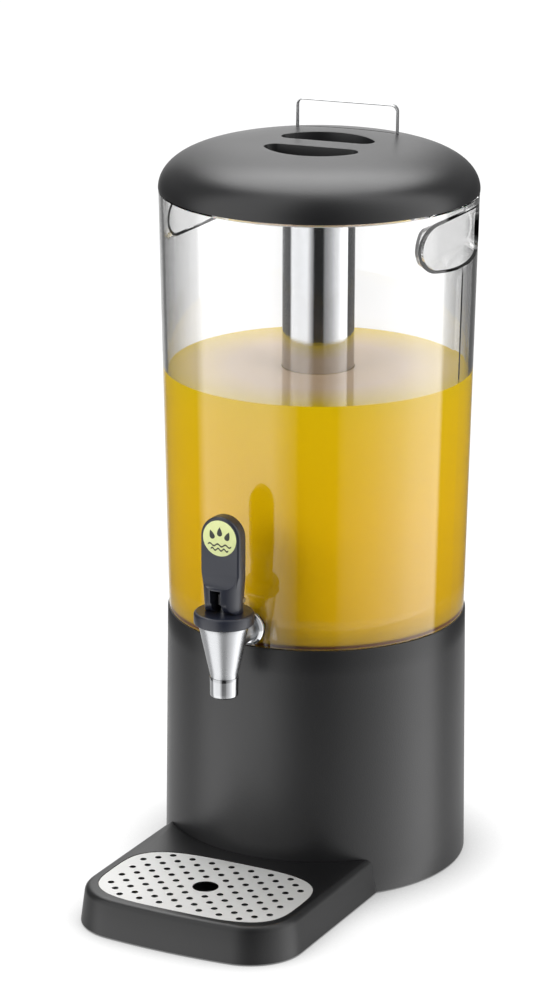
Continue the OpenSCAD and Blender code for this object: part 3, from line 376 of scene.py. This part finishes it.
# faint orange peel, 3 mm across, and fingermarks that dull it in patches of about 14 mm
peel = add_node(tree, "ShaderNodeTexNoise", {"Scale": 300, "Detail": 1.0},
                {"Vector": (place, "Object")})
touched = add_node(tree, "ShaderNodeTexNoise", {"Scale": 70, "Detail": 3.0},
                   {"Vector": (place, "Object")})
gloss = add_node(tree, "ShaderNodeMapRange", {"To Min": 0.3, "To Max": 0.4},
                 {"Value": (touched, "Fac")})
relief = add_node(tree, "ShaderNodeBump", {"Strength": 0.05, "Distance": 0.0005},
                  {"Height": (peel, "Fac")})
tree.links.new(gloss.outputs["Result"], shader.inputs["Roughness"])
tree.links.new(relief.outputs["Normal"], shader.inputs["Normal"])
put_on(tap_black, "tap_collar", "lever")
soften("tap_collar", width=0.0003)
soften("lever", width=0.0005, segments=3, crease=28)


# Lime disc

# A thin lime-green disc is let into the lever's face to say what flows from the tap. It
# is printed ABS; its sign is three drops above two wavy lines, in black.

disc_lime, tree, shader = new_finish("lime_abs_printed", {
    "Roughness": 0.32, "IOR": 1.5})
place = add_node(tree, "ShaderNodeTexCoord")
# the colour varies a little, over about 4 mm
ink = add_node(tree, "ShaderNodeTexNoise", {"Scale": 260, "Detail": 3.0},
               {"Vector": (place, "Object")})
tint = add_node(tree, "ShaderNodeValToRGB", links={"Fac": (ink, "Fac")})
tint.color_ramp.elements[0].color = linear("#d6dd9a")
tint.color_ramp.elements[0].position = 0.3
tint.color_ramp.elements[1].color = linear("#dee5a5")
tint.color_ramp.elements[1].position = 0.7
tree.links.new(tint.outputs["Color"], shader.inputs["Base Color"])
put_on(disc_lime, "lever_disc")
soften("lever_disc", width=0.0002)

disc_low, disc_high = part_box("lever_disc")
disc_middle = (disc_low + disc_high) / 2
ink_thickness = 0.00012
sign_mesh = bmesh.new()


def stamp(outline):
    """Adds one raised ink shape on the disc's face, from points right of and above its middle."""
    face_y = disc_low.y
    front = [sign_mesh.verts.new((disc_middle.x + x, face_y - ink_thickness, disc_middle.z + z))
             for x, z in outline]
    back = [sign_mesh.verts.new((v.co.x, face_y + ink_thickness, v.co.z)) for v in front]
    sign_mesh.faces.new(front)
    sign_mesh.faces.new(back[::-1])
    for i in range(len(front)):
        j = (i + 1) % len(front)
        sign_mesh.faces.new((front[j], front[i], back[i], back[j]))


drop_r, drop_points = 0.0024, 28
point_power, point_rise, belly_depth = 0.45, 1.55, 0.72
drop_apart, side_drop_z, middle_drop_z, side_lean = 0.0058, 0.0018, 0.0042, 0.35
for shift, rise, lean in ((-drop_apart, side_drop_z, side_lean), (0, middle_drop_z, 0),
                          (drop_apart, side_drop_z, -side_lean)):
    outline = []
    for k in range(drop_points):
        t = 2 * math.pi * k / drop_points
        # a round that runs out to a point at its top
        x = drop_r * math.sin(t) * (0.5 - 0.5 * math.cos(t)) ** point_power
        z = drop_r * math.cos(t) * point_rise
        z = z if z > 0 else z * belly_depth
        outline.append((shift + x * math.cos(lean) - z * math.sin(lean),
                        rise + x * math.sin(lean) + z * math.cos(lean)))
    stamp(outline)
wave_half_t, wave_rise, wave_count, wave_points = 0.00055, 0.0008, 3, 30
upper_wave_z, upper_wave_half, lower_wave_z, lower_wave_half = -0.0048, 0.0088, -0.0078, 0.0066
for low, half in ((upper_wave_z, upper_wave_half), (lower_wave_z, lower_wave_half)):
    line = [(-half + 2 * half * k / wave_points,
             low + wave_rise * math.sin(wave_count * 2 * math.pi * k / wave_points))
            for k in range(wave_points + 1)]
    stamp([(x, z - wave_half_t) for x, z in line]
          + [(x, z + wave_half_t) for x, z in reversed(line)])
bmesh.ops.recalc_face_normals(sign_mesh, faces=sign_mesh.faces)
sign_data = bpy.data.meshes.new("disc_sign")
sign_mesh.to_mesh(sign_data)
sign_mesh.free()
disc_sign = bpy.data.objects.new("disc_sign", sign_data)
bpy.context.scene.collection.objects.link(disc_sign)

# pad-printing ink: black, a little duller than the disc
sign_ink, tree, shader = new_finish("black_printing_ink", {
    "Base Color": linear("#20221c"), "IOR": 1.5})
place = add_node(tree, "ShaderNodeTexCoord")
# the film of ink is uneven over about 1.3 mm
cover = add_node(tree, "ShaderNodeTexNoise", {"Scale": 800, "Detail": 2.0},
                 {"Vector": (place, "Object")})
gloss = add_node(tree, "ShaderNodeMapRange", {"To Min": 0.4, "To Max": 0.55},
                 {"Value": (cover, "Fac")})
tree.links.new(gloss.outputs["Result"], shader.inputs["Roughness"])
sign_data.materials.append(sign_ink)
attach(disc_sign, "lever")


# Lid

# The domed lid is moulded in the same black ABS as the base, with the same grain but a
# little duller. Its liner and the ice tube's collar are plain moulded black.

lid_black, tree, shader = new_finish("black_abs_grained", {
    "Base Color": linear("#161617"), "IOR": 1.5})
place = add_node(tree, "ShaderNodeTexCoord")
# the same 0.15 mm grain, drawn at about 1.1 mm
grain = add_node(tree, "ShaderNodeTexNoise", {"Scale": 900, "Detail": 3.0, "Roughness": 0.6},
                 {"Vector": (place, "Object")})
# hands dull it in broad patches, about 55 mm across
handled = add_node(tree, "ShaderNodeTexNoise", {"Scale": 18, "Detail": 2.0},
                   {"Vector": (place, "Object")})
gloss = add_node(tree, "ShaderNodeMapRange", {"To Min": 0.3, "To Max": 0.37},
                 {"Value": (handled, "Fac")})
relief = add_node(tree, "ShaderNodeBump", {"Strength": 0.25, "Distance": 0.0003},
                  {"Height": (grain, "Fac")})
tree.links.new(gloss.outputs["Result"], shader.inputs["Roughness"])
tree.links.new(relief.outputs["Normal"], shader.inputs["Normal"])
put_on(lid_black, "lid_shell", "lid_liner", "tube_collar")
soften("lid_shell", width=0.0006, segments=3, crease=30)
soften("lid_liner", width=0.0003)


# Card holder

# A flat strip of stainless steel, bent to a bridge, holds a name card behind the lid's
# bar. It is tumbled to a soft shine and its legs are pressed into the lid.

holder_steel, tree, shader = new_finish("stainless_strip_tumbled", {
    "Base Color": linear("#d4d5d6"), "Metallic": 1.0})
place = add_node(tree, "ShaderNodeTexCoord")
# the marks of tumbling are finer than 0.5 mm, and are drawn at about 2 mm
tumbled = add_node(tree, "ShaderNodeTexNoise", {"Scale": 500, "Detail": 3.0},
                   {"Vector": (place, "Object")})
gloss = add_node(tree, "ShaderNodeMapRange", {"To Min": 0.34, "To Max": 0.44},
                 {"Value": (tumbled, "Fac")})
tree.links.new(gloss.outputs["Result"], shader.inputs["Roughness"])
put_on(holder_steel, "card_holder")
soften("card_holder", width=0.0002)


# Ice tube

# The ice tube is drawn stainless steel, mirror-polished outside. It hangs from the lid
# in the juice and keeps it cool.

tube_steel, tree, shader = new_finish("stainless_drawn_mirror", {
    "Base Color": linear("#d2d3d5"), "Metallic": 1.0})
place = add_node(tree, "ShaderNodeTexCoord")
# polishing marks run round the tube, drawn 1 mm apart and very shallow
polished = add_node(tree, "ShaderNodeTexWave", {
    "bands_direction": "Z", "Scale": 310, "Distortion": 1.5, "Detail": 3.0},
    {"Vector": (place, "Object")})
relief = add_node(tree, "ShaderNodeBump", {"Strength": 0.03, "Distance": 0.0001},
                  {"Height": (polished, "Fac")})
# wipe marks about 17 mm across
smear = add_node(tree, "ShaderNodeTexNoise", {"Scale": 60, "Detail": 2.0},
                 {"Vector": (place, "Object")})
gloss = add_node(tree, "ShaderNodeMapRange", {"To Min": 0.03, "To Max": 0.07},
                 {"Value": (smear, "Fac")})
tree.links.new(gloss.outputs["Result"], shader.inputs["Roughness"])
tree.links.new(relief.outputs["Normal"], shader.inputs["Normal"])
put_on(tube_steel, "ice_tube")


# Drip tray

# The drip tray is moulded like the base, from a deeper black ABS with the same grain. It
# plugs into the base with a tongue.

tray_black, tree, shader = new_finish("black_abs_tray", {
    "Base Color": linear("#101011"), "IOR": 1.47})
place = add_node(tree, "ShaderNodeTexCoord")
# the same 0.15 mm grain as the base's, drawn at about 1.1 mm
grain = add_node(tree, "ShaderNodeTexNoise", {"Scale": 900, "Detail": 3.0, "Roughness": 0.6},
                 {"Vector": (place, "Object")})
# cups and cloths scuff it in patches 30 to 50 mm across
scuffed = add_node(tree, "ShaderNodeTexNoise", {"Scale": 28, "Detail": 3.0},
                   {"Vector": (place, "Object")})
gloss = add_node(tree, "ShaderNodeMapRange", {"To Min": 0.32, "To Max": 0.42},
                 {"Value": (scuffed, "Fac")})
relief = add_node(tree, "ShaderNodeBump", {"Strength": 0.2, "Distance": 0.0003},
                  {"Height": (grain, "Fac")})
tree.links.new(gloss.outputs["Result"], shader.inputs["Roughness"])
tree.links.new(relief.outputs["Normal"], shader.inputs["Normal"])
put_on(tray_black, "drip_tray")
soften("drip_tray", crease=24)


# Grille

# The grille is laser-cut stainless sheet with many drain holes and a finger hole, tumbled
# to a satin that scatters light evenly.

grille_steel, tree, shader = new_finish("stainless_sheet_satin", {"Metallic": 1.0})
place = add_node(tree, "ShaderNodeTexCoord")
# the satin is finer than the eye sees, and is drawn at about 1.4 mm
satin = add_node(tree, "ShaderNodeTexNoise", {"Scale": 700, "Detail": 3.0},
                 {"Vector": (place, "Object")})
gloss = add_node(tree, "ShaderNodeMapRange", {"To Min": 0.72, "To Max": 0.82},
                 {"Value": (satin, "Fac")})
relief = add_node(tree, "ShaderNodeBump", {"Strength": 0.1, "Distance": 0.0001},
                  {"Height": (satin, "Fac")})
# the cut edges of the holes are painted dark: partly the laser's oxide, partly painted shade down
# the holes
facing = add_node(tree, "ShaderNodeNewGeometry")
tilt = add_node(tree, "ShaderNodeSeparateXYZ", links={"Vector": (facing, "True Normal")})
upright = add_node(tree, "ShaderNodeMath", {"operation": "ABSOLUTE"}, {0: (tilt, "Z")})
cut_oxide_and_shade = add_node(tree, "ShaderNodeValToRGB", links={"Fac": (upright, "Value")})
cut_oxide_and_shade.color_ramp.elements[0].color = linear("#3a3938")
cut_oxide_and_shade.color_ramp.elements[0].position = 0.3
cut_oxide_and_shade.color_ramp.elements[1].color = linear("#dededd")
cut_oxide_and_shade.color_ramp.elements[1].position = 0.7
tree.links.new(cut_oxide_and_shade.outputs["Color"], shader.inputs["Base Color"])
tree.links.new(gloss.outputs["Result"], shader.inputs["Roughness"])
tree.links.new(relief.outputs["Normal"], shader.inputs["Normal"])
put_on(grille_steel, "grille")


# Studio

# A white table, a tall soft light on each side of the camera, one high behind the object
# and a white wall at the back. The side lights draw the bright bands down the container
# with the dark gap between them, the high one the streak over the lid.

floor_data = bpy.data.meshes.new("studio_floor")
reach = 14.0    # half the side of the table
floor_data.from_pydata([(-reach, -reach, 0), (reach, -reach, 0), (reach, reach, 0),
                        (-reach, reach, 0)], [], [(0, 1, 2, 3)])
studio_floor = bpy.data.objects.new("studio_floor", floor_data)
bpy.context.scene.collection.objects.link(studio_floor)
# white paper under clear film: it takes shadow, and the eye sees it as white; what mirrors
# it sees a faint white close by, and the studio in its gloss
paper, tree, shader = new_finish("white_paper_under_film", {
    "Base Color": linear("#5a5a5a"), "Roughness": 1.0, "Specular IOR Level": 0.0})
path = add_node(tree, "ShaderNodeLightPath")
# the shade gathers close under the object, within a hand's breadth
shade_reach = 0.065
near = add_node(tree, "ShaderNodeAmbientOcclusion", {"samples": 8, "Distance": shade_reach})
bright = add_node(tree, "ShaderNodeMapRange", {
    "From Min": 0.2, "From Max": 0.85, "To Min": 0.14, "To Max": 0.92}, {"Value": (near, "AO")})
lift = add_node(tree, "ShaderNodeMath", {"operation": "MULTIPLY"},
                {0: (path, "Is Camera Ray"), 1: (bright, "Result")})
shine = add_node(tree, "ShaderNodeEmission", {"Color": linear("#ffffff")},
                 {"Strength": (lift, "Value")})
lit = add_node(tree, "ShaderNodeAddShader", links={0: (shader, "BSDF"), 1: (shine, "Emission")})
place = add_node(tree, "ShaderNodeTexCoord")
out = add_node(tree, "ShaderNodeVectorMath", {"operation": "LENGTH"}, {0: (place, "Object")})
# in a mirror the paper is pale out to the first of these radii, and fades to the second
pale_to_r, pale_ends_r = 0.5, 0.62
close = add_node(tree, "ShaderNodeMapRange", {
    "From Min": pale_to_r, "From Max": pale_ends_r, "To Min": 0.55, "To Max": 0.0},
    {"Value": (out, "Value")})
mirrored = add_node(tree, "ShaderNodeMath", {"operation": "MULTIPLY"},
                    {0: (path, "Is Glossy Ray"), 1: (close, "Result")})
shaded = add_node(tree, "ShaderNodeMath", {"operation": "MULTIPLY"},
                  {0: (mirrored, "Value"), 1: (near, "AO")})
pale = add_node(tree, "ShaderNodeEmission", {"Color": linear("#ffffff")},
                {"Strength": (shaded, "Value")})
open_air = add_node(tree, "ShaderNodeBsdfTransparent")
film = add_node(tree, "ShaderNodeAddShader", links={0: (open_air, "BSDF"), 1: (pale, "Emission")})
bounced = add_node(tree, "ShaderNodeMath", {"operation": "MAXIMUM"},
                   {0: (path, "Is Glossy Ray"), 1: (path, "Is Transmission Ray")})
passes = add_node(tree, "ShaderNodeMath", {"operation": "MAXIMUM"},
                  {0: (bounced, "Value"), 1: (path, "Is Shadow Ray")})
paper_out = add_node(tree, "ShaderNodeMixShader", links={
    "Fac": (passes, "Value"), 1: (lit, "Shader"), 2: (film, "Shader")})
tree.links.new(paper_out.outputs["Shader"],
               [n for n in tree.nodes if n.type == "OUTPUT_MATERIAL"][0].inputs["Surface"])
floor_data.materials.append(paper)

studio = bpy.data.worlds.new("studio")
bpy.context.scene.world = studio
studio.use_nodes = True
tree = studio.node_tree
tree.nodes.clear()
place = add_node(tree, "ShaderNodeTexCoord")
flat = add_node(tree, "ShaderNodeVectorMath", {"operation": "MULTIPLY", 1: (1, 1, 0)},
                {0: (place, "Generated")})
level = add_node(tree, "ShaderNodeVectorMath", {"operation": "NORMALIZE"}, {0: (flat, "Vector")})
# level directions from the object to the camera and to the camera's right, and the direction
# of the high light
to_eye = (0.4448, -0.8956, 0)
to_right = (0.8956, 0.4448, 0)
to_high = (-0.2341, 0.4587, 0.8572)
back_wall, high_light, wall_glow = 1.05, 4.6, 0.15
# how far a direction turns about the upright from the camera's side, to its right
ahead = add_node(tree, "ShaderNodeVectorMath", {
    "operation": "DOT_PRODUCT", 1: to_eye}, {0: (level, "Vector")})
aside = add_node(tree, "ShaderNodeVectorMath", {
    "operation": "DOT_PRODUCT", 1: to_right}, {0: (level, "Vector")})
turn = add_node(tree, "ShaderNodeMath", {"operation": "ARCTAN2"},
                {0: (aside, "Value"), 1: (ahead, "Value")})
share = add_node(tree, "ShaderNodeMapRange", {"From Min": -math.pi, "From Max": math.pi},
                 {"Value": (turn, "Value")})
room = add_node(tree, "ShaderNodeValToRGB", links={"Fac": (share, "Result")})
room.color_ramp.interpolation = "LINEAR"
room.color_ramp.elements[0].position = 0.0
room.color_ramp.elements[0].color = (back_wall, back_wall, back_wall, 1)
room.color_ramp.elements[1].position = 1.0
room.color_ramp.elements[1].color = (back_wall, back_wall, back_wall, 1)
# degrees to the right of the camera and how bright the room is there; each side light is
# weaker at the edge that is nearer to the camera
left_wall = ((-175, back_wall), (-174, 0.65), (-165, 0.6), (-156, 0.14), (-102, 0.08))
left_light = ((-93, 1.6), (-36, 1.6), (-28, 0.97), (-21, 0.52), (-16.5, 0.28))
dark_gap = ((-14.5, 0.03), (14.5, 0.03))
right_light = ((16.5, 0.2), (21, 0.4), (32, 0.56), (44, 0.8), (60, 1.35), (80, 2.2), (103, 2.4))
right_wall = ((107, 0.08), (160, 0.12), (168, 0.25), (174, 0.5), (175, back_wall))
for degrees, light in left_wall + left_light + dark_gap + right_light + right_wall:
    stop = room.color_ramp.elements.new(0.5 + degrees / 360)
    stop.color = (light, light, light, 1)
# the top light hangs high behind the object; these cosines of the angle to its middle are
# where its soft edge begins and where it is full
light_edge, light_full = 0.864, 0.94
toward = add_node(tree, "ShaderNodeVectorMath", {
    "operation": "DOT_PRODUCT", 1: to_high}, {0: (place, "Generated")})
overhead = add_node(tree, "ShaderNodeMapRange", {
    "From Min": light_edge, "From Max": light_full}, {"Value": (toward, "Value")})
# the wall behind the object fades towards the sides and towards the table; its light comes
# up between these sines of the angle above level
lit_from, lit_full = 0.02, 0.22
behind = add_node(tree, "ShaderNodeMath", {
    "operation": "MULTIPLY", 1: -wall_glow, "use_clamp": True}, {0: (ahead, "Value")})
parts = add_node(tree, "ShaderNodeSeparateXYZ", links={"Vector": (place, "Generated")})
above = add_node(tree, "ShaderNodeMapRange", {
    "From Min": lit_from, "From Max": lit_full}, {"Value": (parts, "Z")})
wall = add_node(tree, "ShaderNodeMath", {"operation": "MULTIPLY"},
                {0: (behind, "Value"), 1: (above, "Result")})
walls = add_node(tree, "ShaderNodeMix", {"data_type": "RGBA", "blend_type": "ADD", 0: 1.0},
                 {6: (room, "Color"), 7: (wall, "Value")})
sky = add_node(tree, "ShaderNodeMix", {
    "data_type": "RGBA", 7: (high_light, high_light, high_light, 1)},
    {0: (overhead, "Result"), 6: (walls, 2)})
lights = add_node(tree, "ShaderNodeBackground", {"Strength": 1.0}, {"Color": (sky, 2)})
white = add_node(tree, "ShaderNodeBackground", {"Color": (1, 1, 1, 1), "Strength": 1.0})
path = add_node(tree, "ShaderNodeLightPath")
shown = add_node(tree, "ShaderNodeMixShader", links={
    "Fac": (path, "Is Camera Ray"), 1: (lights, "Background"), 2: (white, "Background")})
add_node(tree, "ShaderNodeOutputWorld", links={"Surface": (shown, "Shader")})

# two soft fill lamps in front, 60 degrees to each side of the camera, light the matt
# surfaces evenly; they are kept out of the reflections
lamp_size, lamp_power, lamp_away, lamp_rise, lamp_aim_z = 1.6, 47.0, 3.0, 22, 0.25
for name, turn in (("fill_left", -123.6), ("fill_right", -3.6)):
    lamp_data = bpy.data.lights.new(name, "AREA")
    lamp_data.shape = "SQUARE"
    lamp_data.size = lamp_size
    lamp_data.energy = lamp_power
    lamp = bpy.data.objects.new(name, lamp_data)
    bpy.context.scene.collection.objects.link(lamp)
    stand, rise = math.radians(turn), math.radians(lamp_rise)
    offset = Vector((math.cos(stand) * math.cos(rise), math.sin(stand) * math.cos(rise),
                     math.sin(rise)))
    lamp.location = Vector((0, 0, lamp_aim_z)) + lamp_away * offset
    lamp.rotation_euler = offset.to_track_quat("Z", "Y").to_euler()
    lamp.visible_glossy = False
    lamp.visible_transmission = False

# the camera stands where the photograph was taken from, 1.1 m above the table and about
# 2.8 m away, with a long lens
camera_place = (1.18575, -2.38780, 1.09549)
lens_mm, sensor_mm, shift_right = 143.42, 36.0, 0.0012
camera_data = bpy.data.cameras.new("camera")
camera_data.lens = lens_mm
camera_data.sensor_width = sensor_mm
camera_data.sensor_fit = "AUTO"
camera_data.shift_x = shift_right
camera = bpy.data.objects.new("camera", camera_data)
bpy.context.scene.collection.objects.link(camera)
heading, down, roll = (math.radians(degrees) for degrees in (27.0394, 17.4740, 0.1811))
turned_to = (Matrix.Rotation(heading, 4, "Z") @ Matrix.Rotation(math.pi / 2 - down, 4, "X")
             @ Matrix.Rotation(roll, 4, "Z"))
camera.matrix_world = Matrix.Translation(camera_place) @ turned_to
bpy.context.scene.camera = camera
bpy.context.scene.view_settings.view_transform = "Standard"
